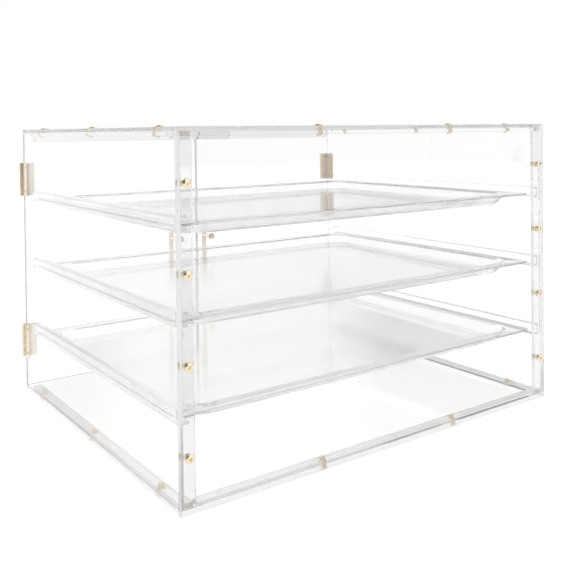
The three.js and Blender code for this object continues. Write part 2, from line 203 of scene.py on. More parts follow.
mirrored = add_node(tree, "ShaderNodeMath", {"operation": "MULTIPLY"},
                    input0=mirrored.outputs[0], input1=direct.outputs[0])
tone = add_node(tree, "ShaderNodeMix", {"data_type": "RGBA"}, input0=mirrored.outputs[0],
                input6=room_tone.outputs[2], input7=metal_tone.outputs[2])
glare = add_node(tree, "ShaderNodeMapRange", Value=mirrored.outputs[0], To_Min=1.0,
                 To_Max=METAL_GLARE)
room = add_node(tree, "ShaderNodeBackground", Color=tone.outputs[2],
                Strength=glare.outputs["Result"])
white = add_node(tree, "ShaderNodeBackground", Color=linear(ROOM_LIGHT))
straight = add_node(tree, "ShaderNodeMath", {"operation": "LESS_THAN"},
                    input0=path.outputs["Glossy Depth"], input1=0.5)
lit = add_node(tree, "ShaderNodeMath", {"operation": "MAXIMUM"},
               input0=straight.outputs[0], input1=path.outputs["Is Diffuse Ray"])
seen = add_node(tree, "ShaderNodeMixShader", input0=lit.outputs[0],
                input1=room.outputs[0], input2=white.outputs[0])
add_node(tree, "ShaderNodeOutputWorld", Surface=seen.outputs[0])

paper, tree, shader, output = new_material("white_paper")
place = add_node(tree, "ShaderNodeTexCoord")
fibre = add_node(tree, "ShaderNodeTexNoise", Vector=place.outputs["Object"],
                 Scale=1 / PAPER_FIBRE, Detail=3.0)
weave = add_node(tree, "ShaderNodeBump", Strength=0.2, Distance=PAPER_FIBRE / 4,
                 Height=fibre.outputs[0])
tree.links.new(weave.outputs[0], shader.inputs["Normal"])
shader.inputs["Base Color"].default_value = linear(PAPER_COLOUR)
shader.inputs["Roughness"].default_value = 0.9
shader.inputs["Emission Color"].default_value = linear(ROOM_LIGHT)
path = add_node(tree, "ShaderNodeLightPath")
seen = add_node(tree, "ShaderNodeMath", {"operation": "MAXIMUM"},
                input0=path.outputs["Is Camera Ray"], input1=path.outputs["Is Transmission Ray"])
seen = add_node(tree, "ShaderNodeMath", {"operation": "MAXIMUM"},
                input0=seen.outputs[0], input1=path.outputs["Is Glossy Ray"])
glow = add_node(tree, "ShaderNodeMath", {"operation": "MULTIPLY"},
                input0=seen.outputs[0], input1=PAPER_GLOW)
tree.links.new(glow.outputs[0], shader.inputs["Emission Strength"])

floor_mesh = bmesh.new()
bmesh.ops.create_grid(floor_mesh, x_segments=1, y_segments=1, size=PAPER_SIDE / 2)
floor_data = bpy.data.meshes.new("paper_sweep")
floor_mesh.to_mesh(floor_data)
floor_mesh.free()
floor_data.materials.append(paper)
floor = bpy.data.objects.new("paper_sweep", floor_data)
scene.collection.objects.link(floor)
floor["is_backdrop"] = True


# Sheets of the case. Cast acrylic, 4 mm thick, sawn to size, with its edges sanded but not
# flamed, so that they draw the case in pale grey. They are drilled for the screws and butt
# against each other.
SHEETS = ("front_panel", "top_panel", "bottom_panel", "left_panel", "right_panel")
SHEET_CHAMFER = 0.35 * MM
CLEAR_IOR = 1.49
SCREW_HOLE_RADIUS = 3.3 * MM
SINK_RADIUS = 4.9 * MM
SINK_LIP = 0.3 * MM
SINK_DEPTH = 3.3 * MM
HOLE_LIP = 0.2 * MM
HOLE_FACETS = 24
SMOOTH_ANGLE = 35
HINGE_HOLE_RADIUS = 1.5 * MM
HINGE_SCREW_INSET = 7 * MM
HINGE_SCREW_SPACING = 33 * MM
SAW_MARK_PITCH = 0.3 * MM
SHEET_WAVE = 60 * MM
SCRATCH_WIDTH = 40 * MM
SCRATCH_STRETCH = 30
SCRATCH_LEAN = (0.5, 0.9, 0.2)
SCRATCH_LEVELS = (0.68, 0.72)
EDGE_CLOUD = 12 * MM
SWARF_GRAIN = 0.6 * MM
FLAT_FACE, EDGE_FACE, HOLE_FACE = 0, 1, 2


def let_light_through(tree, shader, output):
    """Lets shadow and diffuse rays straight through clear plastic, and caught rays out of it."""
    path = add_node(tree, "ShaderNodeLightPath")
    caught = add_node(tree, "ShaderNodeMath", {"operation": "GREATER_THAN"},
                      input0=path.outputs["Ray Depth"], input1=float(CLEAR_DEPTH_LIMIT))
    freed = add_node(tree, "ShaderNodeMath", {"operation": "MAXIMUM"},
                     input0=path.outputs["Is Shadow Ray"], input1=path.outputs["Is Diffuse Ray"])
    freed = add_node(tree, "ShaderNodeMath", {"operation": "MAXIMUM"},
                     input0=freed.outputs[0], input1=caught.outputs[0])
    clear = add_node(tree, "ShaderNodeBsdfTransparent", Color=linear("#fefefe"))
    mixed = add_node(tree, "ShaderNodeMixShader", input0=freed.outputs[0],
                     input1=shader.outputs[0], input2=clear.outputs[0])
    tree.links.new(mixed.outputs[0], output.inputs["Surface"])


def drilled_block(low, high, axis, holes=(), from_high=False, chamfer=SHEET_CHAMFER):
    """A block with chamfered edges as a bmesh. Each hole is its place on the drilled face and a
    profile of radius and depth. A profile that ends at no radius is a blind hole."""
    u, v = (k for k in range(3) if k != axis)
    depth = high[axis] - low[axis]
    shape = bmesh.new()

    def ring(points, drop):
        made = []
        for a, b in points:
            place = [0.0, 0.0, 0.0]
            place[u], place[v] = a, b
            place[axis] = high[axis] - drop if from_high else low[axis] + drop
            made.append(shape.verts.new(place))
        return made

    def outline(inset):
        a0, b0, a1, b1 = low[u] + inset, low[v] + inset, high[u] - inset, high[v] - inset
        return [(a0 + chamfer, b0), (a1 - chamfer, b0), (a1, b0 + chamfer), (a1, b1 - chamfer),
                (a1 - chamfer, b1), (a0 + chamfer, b1), (a0, b1 - chamfer), (a0, b0 + chamfer)]

    def circle(place, radius):
        turns = [2 * math.pi * i / HOLE_FACETS for i in range(HOLE_FACETS)]
        return [(place[u] + radius * math.cos(t), place[v] + radius * math.sin(t)) for t in turns]

    def band(first, second, zone):
        for i in range(len(first)):
            j = (i + 1) % len(first)
            back = [second[0]] if len(second) == 1 else [second[j], second[i]]
            loop = [first[i], first[j]] + back
            shape.faces.new(loop).material_index = zone

    def fill(rings):
        corners = [vert for one in rings for vert in one]
        for triangle in tessellate_polygon([[vert.co for vert in one] for one in rings]):
            shape.faces.new([corners[i] for i in triangle]).material_index = FLAT_FACE

    sides = [ring(outline(inset), drop) for inset, drop in
             ((chamfer, 0), (0, chamfer), (0, depth - chamfer), (chamfer, depth))]
    for first, second in zip(sides, sides[1:]):
        band(first, second, EDGE_FACE)
    near, far = [sides[0]], [sides[-1]]
    for place, profile in holes:
        walls = [ring(circle(place, radius) if radius else [(place[u], place[v])], drop)
                 for radius, drop in profile]
        for first, second in zip(walls, walls[1:]):
            band(first, second, HOLE_FACE)
        near.append(walls[0])
        if len(walls[-1]) > 1:
            far.append(walls[-1])
    fill(near)
    fill(far)
    bmesh.ops.recalc_face_normals(shape, faces=shape.faces)
    return shape


def mesh_from(shape, name, materials, smooth_angle=SMOOTH_ANGLE):
    """A mesh of a bmesh, smooth where faces meet at less than an angle in degrees."""
    data = bpy.data.meshes.new(name)
    shape.to_mesh(data)
    shape.free()
    data.shade_smooth()
    data.set_sharp_from_angle(angle=math.radians(smooth_angle))
    for material in materials:
        data.materials.append(material)
    return data


def piece_from(shape, name, materials, smooth_angle=SMOOTH_ANGLE):
    """An object of a bmesh, in the scene."""
    data = mesh_from(shape, name, materials, smooth_angle)
    piece = bpy.data.objects.new(name + "_dressed", data)
    scene.collection.objects.link(piece)
    return piece


def middle(node):
    """The middle of a CAD node's box."""
    low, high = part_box(node)
    return (low + high) / 2


def through_hole(radius, depth):
    return [(radius + HOLE_LIP, 0), (radius, HOLE_LIP), (radius, depth - HOLE_LIP),
            (radius + HOLE_LIP, depth)]


# Polished face of cast sheet: clear and flat, with a faint waviness and a few hairline scratches.
sheet_face, tree, shader, output = new_material("polished_cast_acrylic")
shader.inputs["Base Color"].default_value = linear("#fefefe")
shader.inputs["IOR"].default_value = CLEAR_IOR
shader.inputs["Transmission Weight"].default_value = 1.0
place = add_node(tree, "ShaderNodeTexCoord")
stretch = add_node(tree, "ShaderNodeMapping", Vector=place.outputs["Object"],
                   Scale=(1, 1, SCRATCH_STRETCH), Rotation=SCRATCH_LEAN)
hair = add_node(tree, "ShaderNodeTexNoise", Vector=stretch.outputs[0], Scale=1 / SCRATCH_WIDTH,
                Detail=4.0)
scratch = add_node(tree, "ShaderNodeMapRange", Value=hair.outputs[0],
                   From_Min=SCRATCH_LEVELS[0], From_Max=SCRATCH_LEVELS[1], To_Min=0.0, To_Max=0.05)
tree.links.new(scratch.outputs[0], shader.inputs["Roughness"])
wave = add_node(tree, "ShaderNodeTexNoise", Vector=place.outputs["Object"],
                Scale=1 / SHEET_WAVE, Detail=1.0)
relief = add_node(tree, "ShaderNodeBump", Strength=0.04, Distance=0.05 * MM, Height=wave.outputs[0])
tree.links.new(relief.outputs[0], shader.inputs["Normal"])
let_light_through(tree, shader, output)

# Sawn and sanded edge: half clear, half white from its fine saw marks, so that it reads pale grey.
sheet_edge, tree, shader, output = new_material("sanded_acrylic_edge")
shader.inputs["IOR"].default_value = CLEAR_IOR
shader.inputs["Transmission Weight"].default_value = 0.75
place = add_node(tree, "ShaderNodeTexCoord")
marks = add_node(tree, "ShaderNodeTexWave", {"bands_direction": "DIAGONAL"},
                 Vector=place.outputs["Object"], Scale=math.tau / (SAW_MARK_PITCH * 20),
                 Distortion=2.0, Detail=2.0)
cloud = add_node(tree, "ShaderNodeTexNoise", Vector=place.outputs["Object"], Scale=1 / EDGE_CLOUD,
                 Detail=3.0)
tint = add_node(tree, "ShaderNodeMix", {"data_type": "RGBA"}, input0=cloud.outputs[0],
                input6=linear("#e0e1e1"), input7=linear("#efefef"))
tree.links.new(tint.outputs[2], shader.inputs["Base Color"])
rough = add_node(tree, "ShaderNodeMapRange", Value=marks.outputs[1], To_Min=0.19, To_Max=0.25)
tree.links.new(rough.outputs[0], shader.inputs["Roughness"])
relief = add_node(tree, "ShaderNodeBump", Strength=0.02, Distance=0.02 * MM,
                  Height=marks.outputs[1])
tree.links.new(relief.outputs[0], shader.inputs["Normal"])
let_light_through(tree, shader, output)

# Drilled and tapped hole: the brass thread bites into the plastic, so the screw shows straight
# through the wall of its hole, with a thin white haze of swarf.
drilled_wall, tree, shader, output = new_material("drilled_acrylic_wall")
place = add_node(tree, "ShaderNodeTexCoord")
swarf = add_node(tree, "ShaderNodeTexNoise", Vector=place.outputs["Object"], Scale=1 / SWARF_GRAIN,
                 Detail=3.0)
tint = add_node(tree, "ShaderNodeMix", {"data_type": "RGBA"}, input0=swarf.outputs[0],
                input6=linear("#e4e4e4"), input7=linear("#fafafa"))
tree.links.new(tint.outputs[2], shader.inputs["Base Color"])
shader.inputs["Roughness"].default_value = 0.5
haze = add_node(tree, "ShaderNodeMapRange", Value=swarf.outputs[0], To_Min=0.02, To_Max=0.16)
clear = add_node(tree, "ShaderNodeBsdfTransparent")
wall = add_node(tree, "ShaderNodeMixShader", input0=haze.outputs[0], input1=clear.outputs[0],
                input2=shader.outputs[0])
let_light_through(tree, wall, output)

SHEET_LOOK = (sheet_face, sheet_edge, drilled_wall)
SHEET_AXES = {"front_panel": 1, "top_panel": 2, "bottom_panel": 2, "left_panel": 0,
              "right_panel": 0, "left_door": 1, "right_door": 1}


def hinge_hole_places(leaf, inset_axis, inner_side):
    """The two screw places of a hinge leaf, in from its free end."""
    low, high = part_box(leaf)
    places = []
    for offset in (-HINGE_SCREW_SPACING / 2, HINGE_SCREW_SPACING / 2):
        place = (low + high) / 2
        place[2] += offset
        place[inset_axis] = (low[inset_axis] + HINGE_SCREW_INSET if inner_side == "low"
                             else high[inset_axis] - HINGE_SCREW_INSET)
        places.append(place)
    return places


for name in SHEETS:
    low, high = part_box(name)
    axis = SHEET_AXES[name]
    depth = high[axis] - low[axis]
    if axis == 0:
        side = name.split("_")[0]
        places = [place for level in ("upper", "lower")
                  for place in hinge_hole_places(f"{side}_{level}_hinge_case_leaf", 1, "low")]
        profile = through_hole(HINGE_HOLE_RADIUS, depth)
    else:
        group = name.split("_")[0] + "_"
        places = [middle(node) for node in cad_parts
                  if node.startswith(group) and "_screw_" in node]
        profile = through_hole(SCREW_HOLE_RADIUS, depth)
    if name == "bottom_panel":
        profile = [(SINK_RADIUS, 0), (SINK_RADIUS, SINK_LIP), (SCREW_HOLE_RADIUS, SINK_DEPTH),
                   (SCREW_HOLE_RADIUS, depth)]
    shape = drilled_block(low, high, axis, [(place, profile) for place in places],
                          from_high=name in ("top_panel", "right_panel"))
    sheet = piece_from(shape, name, SHEET_LOOK)
    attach(sheet, "case")
    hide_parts(name)


# Posts and strips. Flat strips of extruded acrylic stand behind the ends of the front and lie along
# the top and bottom edges, the top ones of clearer stock. Their long faces are polished and their
# ends sawn, and the screws are tapped right through them.
BAR_CHAMFER = 0.3 * MM
BAR_CLOUD = 9 * MM
SQUARE_ON = 0.9

# Long face of extruded bar: clear, a touch greyer than sheet, with faint draw lines along it.
bar_face, tree, shader, output = new_material("extruded_acrylic_bar")
shader.inputs["Base Color"].default_value = linear("#eeeeee")
shader.inputs["IOR"].default_value = CLEAR_IOR
shader.inputs["Transmission Weight"].default_value = 1.0
place = add_node(tree, "ShaderNodeTexCoord")
cloud = add_node(tree, "ShaderNodeTexNoise", Vector=place.outputs["Object"], Scale=1 / BAR_CLOUD,
                 Detail=2.0)
rough = add_node(tree, "ShaderNodeMapRange", Value=cloud.outputs[0], To_Min=0.0, To_Max=0.02)
tree.links.new(rough.outputs[0], shader.inputs["Roughness"])
relief = add_node(tree, "ShaderNodeBump", Strength=0.02, Distance=0.04 * MM,
                  Height=cloud.outputs[0])
tree.links.new(relief.outputs[0], shader.inputs["Normal"])
let_light_through(tree, shader, output)

BAR_LOOK = (bar_face, sheet_edge, drilled_wall)


def ends_only(shape, axis):
    """Leaves the edge zone to the faces across an axis, where a bar was sawn off."""
    shape.normal_update()
    for face in shape.faces:
        if face.material_index != HOLE_FACE:
            sawn = abs(face.normal[axis]) > SQUARE_ON
            face.material_index = EDGE_FACE if sawn else FLAT_FACE
    return shape


# each strip's long axis, the axis it is drilled along, and its screws
STRIPS = {"front_left_bar": (2, 1, "front_left"), "front_right_bar": (2, 1, "front_right"),
          "front_top_bar": (0, 2, "top_front"), "front_bottom_bar": (0, 2, "bottom_front"),
          "left_top_bar": (1, 2, "top_left"), "right_top_bar": (1, 2, "top_right"),
          "left_bottom_bar": (1, 2, "bottom_left"), "right_bottom_bar": (1, 2, "bottom_right")}
for name, (long_axis, drilled_axis, row) in STRIPS.items():
    low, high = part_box(name)
    screws = [middle(node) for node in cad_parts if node.startswith(f"{row}_screw_")]
    bore = through_hole(SCREW_HOLE_RADIUS, high[drilled_axis] - low[drilled_axis])
    shape = drilled_block(low, high, drilled_axis, [(place, bore) for place in screws],
                          chamfer=BAR_CHAMFER)
    strip = piece_from(ends_only(shape, long_axis), name,
                       SHEET_LOOK if row.startswith("top") else BAR_LOOK)
    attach(strip, "case")
    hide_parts(name)


# Header over the doors, with the block that stops them in its middle. Both are cut from the same
# acrylic bar and cemented under the top sheet.
for name in ("rear_header", "door_stop"):
    low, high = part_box(name)
    bar = piece_from(ends_only(drilled_block(low, high, 2, chamfer=BAR_CHAMFER), 0), name, BAR_LOOK)
    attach(bar, "case")
    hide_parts(name)


# Channel rails. Six extruded C sections cemented to the end sheets, open towards the middle of the
# case, that carry the rims of the trays. Their outer corners are slightly round.
RAIL_LIP = 2.4 * MM
RAIL_WEB = 2.0 * MM
RAIL_ROUND = 0.5 * MM
ROUND_STEPS = 3
LEVELS = ("upper", "middle", "lower")
SIDES = {"left": -1, "right": 1}


def rounded(points, radius, steps=ROUND_STEPS):
    """A closed outline with each corner turned to an arc of a radius."""
    made = []
    for i, point in enumerate(points):
        corner = Vector(point)
        before = (Vector(points[i - 1]) - corner).normalized()
        after = (Vector(points[(i + 1) % len(points)]) - corner).normalized()
        reach = radius / math.tan(before.angle(after) / 2)
        start, end = corner + before * reach, corner + after * reach
        for k in range(steps + 1):
            share = k / steps
            made.append(start.lerp(corner, share).lerp(corner.lerp(end, share), share))
    return made


def extruded(section, low, high):
    """A bmesh of an outline in X and Z, run along Y."""
    shape = bmesh.new()
    rings = [[shape.verts.new((x, y, z)) for x, z in section] for y in (low, high)]
    for i in range(len(section)):
        j = (i + 1) % len(section)
        side = shape.faces.new((rings[0][i], rings[0][j], rings[1][j], rings[1][i]))
        side.material_index = FLAT_FACE
    for ring in rings:
        shape.faces.new(ring).material_index = EDGE_FACE
    bmesh.ops.recalc_face_normals(shape, faces=shape.faces)
    return shape


for level in LEVELS:
    for side, sign in SIDES.items():
        name = f"{side}_rail_{level}"
        low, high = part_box(name)
        outer, inner = (low[0], high[0]) if sign < 0 else (high[0], low[0])
        web = outer - sign * RAIL_WEB
        section = rounded([(outer, low[2]), (inner, low[2]), (inner, low[2] + RAIL_LIP),
                           (web, low[2] + RAIL_LIP), (web, high[2] - RAIL_LIP),
                           (inner, high[2] - RAIL_LIP), (inner, high[2]), (outer, high[2])],
                          RAIL_ROUND)
        rail = piece_from(extruded(section, low[1], high[1]), name, SHEET_LOOK)
        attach(rail, "case")
        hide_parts(name)


# Trays. Three shallow pans moulded from clear plastic 2.4 mm thick, with a flat rim all round
# that slides in the rails. Walls and corners are round, and the edge of the rim is trimmed.
TRAY_RIM = 2.4 * MM
TRAY_RIM_WIDTH = 14 * MM
TRAY_CORNER = 8 * MM
TRAY_PAN_CORNER = 28 * MM
TRAY_PAN_DEPTH = 12 * MM
TRAY_WALL = 2.4 * MM
TRAY_SPREAD = 10 * MM
TRAY_EDGE = 0.5 * MM
CORNER_STEPS = 14
WALL_STEPS = 4
# how far the wall has spread and dropped, from the rim to the pan
TRAY_WALL_SHARES = ((0, 0), (0.12, 0.06), (0.3, 0.3), (0.55, 0.62), (0.78, 0.86), (1, 0.97),
                    (1.45, 1))
PEEL = 12 * MM
TRAY_CLOUD = 70 * MM
TRAY_SMOOTH_ANGLE = 40

# Moulded plastic: clear with a cool grey cast, a faint haze and the soft peel of a mould.
tray_plastic, tree, shader, output = new_material("moulded_clear_plastic")
shader.inputs["IOR"].default_value = CLEAR_IOR
shader.inputs["Transmission Weight"].default_value = 0.93
place = add_node(tree, "ShaderNodeTexCoord")
cloud = add_node(tree, "ShaderNodeTexNoise", Vector=place.outputs["Object"], Scale=1 / TRAY_CLOUD,
                 Detail=2.0)
tint = add_node(tree, "ShaderNodeMix", {"data_type": "RGBA"}, input0=cloud.outputs[0],
                input6=linear("#fcfcfc"), input7=linear("#fefefe"))
tree.links.new(tint.outputs[2], shader.inputs["Base Color"])
peel = add_node(tree, "ShaderNodeTexNoise", Vector=place.outputs["Object"], Scale=1 / PEEL,
                Detail=2.0)
rough = add_node(tree, "ShaderNodeMapRange", Value=peel.outputs[0], To_Min=0.05, To_Max=0.11)
tree.links.new(rough.outputs[0], shader.inputs["Roughness"])
relief = add_node(tree, "ShaderNodeBump", Strength=0.05, Distance=0.05 * MM,
                  Height=peel.outputs[0])
tree.links.new(relief.outputs[0], shader.inputs["Normal"])
let_light_through(tree, shader, output)


def through_points(points, steps):
    """A smooth path through points, with steps between each two."""
    made = []
    last = len(points) - 1
    for i in range(last):
        a, b, c, d = (Vector(points[min(max(k, 0), last)]) for k in range(i - 1, i + 3))
        for k in range(steps):
            t = k / steps
            made.append(0.5 * (2 * b + (c - a) * t + (2 * a - 5 * b + 4 * c - d) * t * t
                               + (3 * b - a - 3 * c + d) * t ** 3))
    return made + [Vector(points[-1])]


def rounded_frame(low, high, inset):
    """The outline of the tray in X and Y, set in from its outer edge."""
    radius = TRAY_PAN_CORNER if inset >= TRAY_RIM_WIDTH else TRAY_CORNER - inset
    x0, y0, x1, y1 = (low[0] + inset + radius, low[1] + inset + radius,
                      high[0] - inset - radius, high[1] - inset - radius)
    made = []
    for x, y, start in ((x1, y0, -0.5), (x1, y1, 0), (x0, y1, 0.5), (x0, y0, 1)):
        for k in range(CORNER_STEPS + 1):
            turn = (start + k / CORNER_STEPS / 2) * math.pi
            made.append((x + radius * math.cos(turn), y + radius * math.sin(turn)))
    return made


for level in LEVELS:
    name = f"tray_{level}"
    low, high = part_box(name)
    rim_base, rim_top = high[2] - TRAY_RIM, high[2]
    wall = through_points(TRAY_WALL_SHARES, WALL_STEPS)
    under = [(TRAY_RIM_WIDTH + spread * TRAY_SPREAD, rim_base - drop * TRAY_PAN_DEPTH)
             for spread, drop in wall]
    inside = [(TRAY_RIM_WIDTH + TRAY_WALL + spread * TRAY_SPREAD,
               rim_top - drop * (TRAY_PAN_DEPTH + TRAY_RIM - TRAY_WALL)) for spread, drop in wall]
    edge = [(TRAY_EDGE, rim_base), (0, rim_base + TRAY_EDGE), (0, rim_top - TRAY_EDGE),
            (TRAY_EDGE, rim_top)]
    shape = bmesh.new()
    rings = [[shape.verts.new((x, y, z)) for x, y in rounded_frame(low, high, inset)]
             for inset, z in under[::-1] + edge + inside]
    for first, second in zip(rings, rings[1:]):
        for i in range(len(first)):
            j = (i + 1) % len(first)
            shape.faces.new((first[i], first[j], second[j], second[i]))
    shape.faces.new(rings[0])
    shape.faces.new(rings[-1])
    bmesh.ops.recalc_face_normals(shape, faces=shape.faces)
    tray = piece_from(shape, name, (tray_plastic,), TRAY_SMOOTH_ANGLE)
    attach(tray, name)
    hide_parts(name)


# Doors. Two sheets of the same cast acrylic between the top and the bottom, drilled for their
# hinges and for the studs of their handles.
HANDLE_HOLE_RADIUS = 2.1 * MM
HANDLE_POST_INSET = 9 * MM

# Edge of a door: the same sawn edge, painted dark grey all over as painted shade from the gap
# between the door and the end sheet.
shaded_door_edge = sheet_edge.copy()
shaded_door_edge.name = "shaded_acrylic_edge"
painted_shade_tint = next(node for node in shaded_door_edge.node_tree.nodes if node.type == "MIX")
# painted shade: the edge colour is darkened to stand for the shade in the gap beside the door
painted_shade_tint.inputs[6].default_value = linear("#868788")
painted_shade_tint.inputs[7].default_value = linear("#a4a5a6")

for side, sign in SIDES.items():
    name = f"{side}_door"
    low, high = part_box(name)
    handle_low, handle_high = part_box(f"{side}_handle")
    depth = high[1] - low[1]
    places = [place for level in ("upper", "lower") for place in hinge_hole_places(
        f"{side}_{level}_hinge_door_leaf", 0, "low" if sign > 0 else "high")]
    holes = [(place, through_hole(HINGE_HOLE_RADIUS, depth)) for place in places]
    for z in (handle_low[2] + HANDLE_POST_INSET, handle_high[2] - HANDLE_POST_INSET):
        place = middle(f"{side}_handle")
        place[2] = z
        holes.append((place, through_hole(HANDLE_HOLE_RADIUS, depth)))
    door = piece_from(drilled_block(low, high, 1, holes, from_high=True), name,
                      (sheet_face, shaded_door_edge, drilled_wall))
    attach(door, f"{side}_door")
    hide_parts(name)


# Hinges. Small butt hinges of rolled brass, folded round the rear corners with the pin outside.
# The case leaf holds the pin, and each leaf is held by two slotted screws.
LEAF_THICKNESS = 1.1 * MM
KNUCKLE_RADIUS = 2.1 * MM
KNUCKLE_BORE = 1.1 * MM
PIN_RADIUS = 1.0 * MM
KNUCKLE_GAP = 0.3 * MM
PARTINGS = 5
LEAF_ROUND = 0.15 * MM
LEAF_SMOOTH_ANGLE = 18
TURN_FACETS = 32
LEAF_HEAD_RADIUS = 2.7 * MM
LEAF_HEAD_HEIGHT = 1.1 * MM
LEAF_SHAFT_RADIUS = 1.2 * MM
LEAF_SHAFT_LENGTH = 4.8 * MM
LEAF_SLOT = 0.7 * MM
DOME_STEPS = 6
STRIP_GRAIN = 0.5 * MM
STRIP_PATCH = 8 * MM
LATHE_PITCH = 0.4 * MM
TURNED_PATCH = 4 * MM

# Rolled and drawn brass: pale gold with a soft grain lengthwise and a few duller patches.
leaf_brass, tree, shader, output = new_material("rolled_brass_strip")
shader.inputs["Metallic"].default_value = 1.0
place = add_node(tree, "ShaderNodeTexCoord")
grain_place = add_node(tree, "ShaderNodeMapping", Vector=place.outputs["Object"],
                       Scale=(1, 1, 0.08))
grain = add_node(tree, "ShaderNodeTexNoise", Vector=grain_place.outputs[0], Scale=1 / STRIP_GRAIN,
                 Detail=3.0)
patch = add_node(tree, "ShaderNodeTexNoise", Vector=place.outputs["Object"], Scale=1 / STRIP_PATCH,
                 Detail=3.0)
tint = add_node(tree, "ShaderNodeMix", {"data_type": "RGBA"}, input0=patch.outputs[0],
                input6=linear("#e9dac6"), input7=linear("#f3e9da"))
tree.links.new(tint.outputs[2], shader.inputs["Base Color"])
rough = add_node(tree, "ShaderNodeMapRange", Value=grain.outputs[0], To_Min=0.16, To_Max=0.34)
tree.links.new(rough.outputs[0], shader.inputs["Roughness"])
relief = add_node(tree, "ShaderNodeBump", Strength=0.15, Distance=0.03 * MM,
                  Height=grain.outputs[0])
tree.links.new(relief.outputs[0], shader.inputs["Normal"])

# Turned brass: a brighter gold with fine rings from the lathe round each piece's own axis.
turned_brass, tree, shader, output = new_material("turned_polished_brass")
shader.inputs["Metallic"].default_value = 1.0
place = add_node(tree, "ShaderNodeTexCoord")
rings = add_node(tree, "ShaderNodeTexWave", {"wave_type": "RINGS", "rings_direction": "Z"},
                 Vector=place.outputs["Object"], Scale=math.tau / (LATHE_PITCH * 20),
                 Distortion=1.0)
patch = add_node(tree, "ShaderNodeTexNoise", Vector=place.outputs["Object"], Scale=1 / TURNED_PATCH,
                 Detail=3.0)
tint = add_node(tree, "ShaderNodeMix", {"data_type": "RGBA"}, input0=patch.outputs[0],
                input6=linear("#eedab2"), input7=linear("#f8edd4"))
tree.links.new(tint.outputs[2], shader.inputs["Base Color"])
rough = add_node(tree, "ShaderNodeMapRange", Value=patch.outputs[0], To_Min=0.1, To_Max=0.24)
tree.links.new(rough.outputs[0], shader.inputs["Roughness"])
relief = add_node(tree, "ShaderNodeBump", Strength=0.1, Distance=0.02 * MM,
                  Height=rings.outputs[1])
tree.links.new(relief.outputs[0], shader.inputs["Normal"])


def solid(shape, name):
    """An object of a bmesh in the scene, for joining."""
    data = bpy.data.meshes.new(name)
    shape.to_mesh(data)
    shape.free()
    made = bpy.data.objects.new(name, data)
    scene.collection.objects.link(made)
    return made


def turned(profile, facets=TURN_FACETS):
    """A bmesh turned about Z from a profile of radius and height, from the axis to the axis."""
    shape = bmesh.new()
    rings = []
    for radius, z in profile:
        turns = [2 * math.pi * i / facets for i in range(facets)] if radius else [0]
        rings.append([shape.verts.new((radius * math.cos(t), radius * math.sin(t), z))
                      for t in turns])
    for first, second in zip(rings, rings[1:]):
        for i in range(facets):
            j = (i + 1) % facets
            loop = [first[i % len(first)], first[j % len(first)],
                    second[j % len(second)], second[i % len(second)]]
            shape.faces.new(list(dict.fromkeys(loop)))
    bmesh.ops.recalc_face_normals(shape, faces=shape.faces)
    return shape


def box_shape(low, high):
    """A plain block as a bmesh, for joining and cutting."""
    shape = bmesh.new()
    bmesh.ops.create_cube(shape, size=1)
    low, high = Vector(low), Vector(high)
    bmesh.ops.scale(shape, vec=high - low, verts=shape.verts)
    bmesh.ops.translate(shape, vec=(low + high) / 2, verts=shape.verts)
    return shape


def combined(base, tools, round_off=0.0):
    """A bmesh of a base with each (operation, bmesh) tool joined or cut, and its edges rounded."""
    body = solid(base, "body")
    others = [solid(tool, "tool") for _, tool in tools]
    for (operation, _), other in zip(tools, others):
        step = body.modifiers.new("step", "BOOLEAN")
        step.operation = operation
        step.solver = "EXACT"
        step.object = other
    if round_off:
        soft = body.modifiers.new("soft", "BEVEL")
        soft.width = round_off
        soft.segments = 2
        soft.limit_method = "ANGLE"
        soft.angle_limit = math.radians(50)
    bpy.context.view_layer.update()
    made = bmesh.new()
    made.from_mesh(body.evaluated_get(bpy.context.evaluated_depsgraph_get()).to_mesh())
    for piece in [body] + others:
        data = piece.data
        bpy.data.objects.remove(piece)
        bpy.data.meshes.remove(data)
    return made


def joined(parts):
    """One bmesh of several, which may pass through each other."""
    whole = bmesh.new()
    for part in parts:
        data = bpy.data.meshes.new("part")
        part.to_mesh(data)
        part.free()
        whole.from_mesh(data)
        bpy.data.meshes.remove(data)
    return whole


def moved(shape, matrix):
    bmesh.ops.transform(shape, matrix=matrix, verts=shape.verts)
    return shape


def dome(radius, height, base=0.0):
    """The profile of a round head from its edge to its crown."""
    turns = [0.5 * math.pi * k / DOME_STEPS for k in range(DOME_STEPS + 1)]
    return [(radius * math.cos(t) if k < DOME_STEPS else 0, base + height * math.sin(t))
            for k, t in enumerate(turns)]


def curl(low, high):
    """One knuckle: a strip from the leaf, rolled round the pin, between two heights."""
    turns = [math.radians(a) for a in range(-90, 241, 15)]
    outer = [(KNUCKLE_RADIUS * math.cos(t), KNUCKLE_RADIUS * math.sin(t)) for t in turns]
    inner = [(KNUCKLE_BORE * math.cos(t), KNUCKLE_BORE * math.sin(t)) for t in turns]
    foot = KNUCKLE_RADIUS + KNUCKLE_GAP * 2
    section = [(foot, -KNUCKLE_RADIUS), (0, -KNUCKLE_RADIUS)]
    section += [(-x, y) for x, y in outer[1:]] + [(-x, y) for x, y in inner[::-1]][:-1]
    section += [(0, -KNUCKLE_BORE), (foot, LEAF_THICKNESS - KNUCKLE_RADIUS)]
    shape = bmesh.new()
    rings = [[shape.verts.new((x, y, z)) for x, y in section] for z in (low, high)]
    for i in range(len(section)):
        j = (i + 1) % len(section)
        shape.faces.new((rings[0][i], rings[0][j], rings[1][j], rings[1][i]))
    for ring in rings:
        shape.faces.new(ring)
    bmesh.ops.recalc_face_normals(shape, faces=shape.faces)
    return shape


